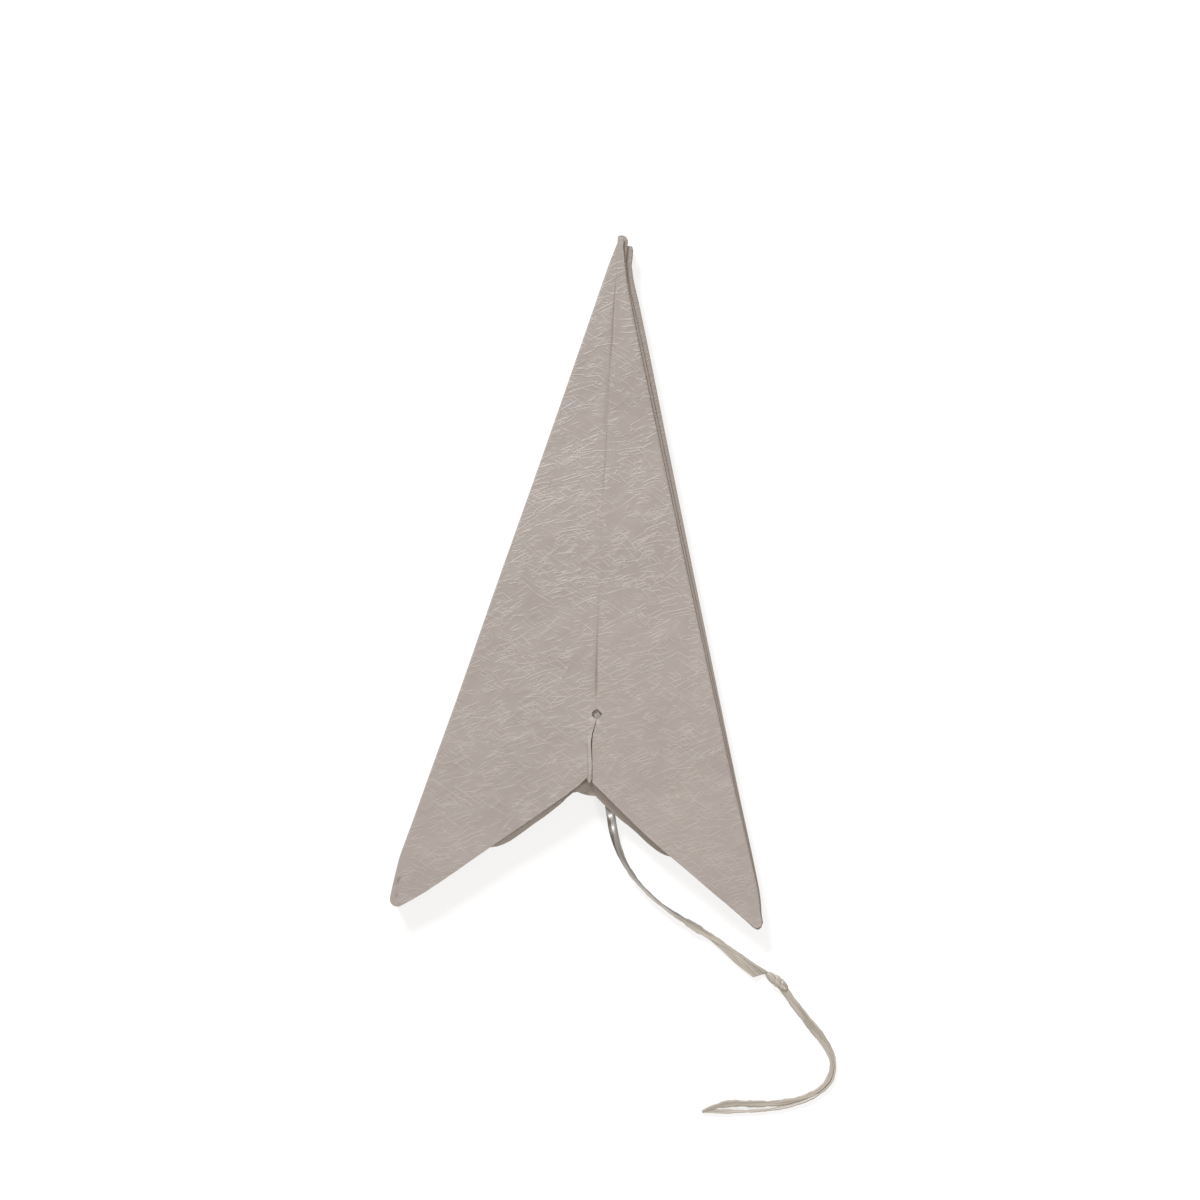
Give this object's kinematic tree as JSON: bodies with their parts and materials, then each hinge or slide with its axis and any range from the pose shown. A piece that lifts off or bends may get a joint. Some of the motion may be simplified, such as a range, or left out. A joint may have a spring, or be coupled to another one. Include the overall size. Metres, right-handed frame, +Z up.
{
  "type": "paper star decoration",
  "caption": "Folded paper star lying flat: arrowhead points of embossed card stacked like a fan, with a cable hole in the top layer and a knotted satin ribbon loop for hanging.",
  "frame": {"origin": "middle of the folded star on the surface it lies on, ribbon left out", "axes": "+Z up through the stack of points, +Y towards the tips, +X to the right of the top layer"},
  "size_m": [0.1474, 0.2822, 0.0096],
  "materials": {
    "card": "embossed, matt",
    "ribbon": "satin"
  },
  "bodies": {
    "root": {"star_point_1": "card", "star_point_2": "card", "star_point_3": "card", "star_point_4": "card", "star_point_5": "card", "star_point_6": "card", "star_point_7": "card", "hanging_ribbon": "ribbon"}
  },
  "joints": []
}
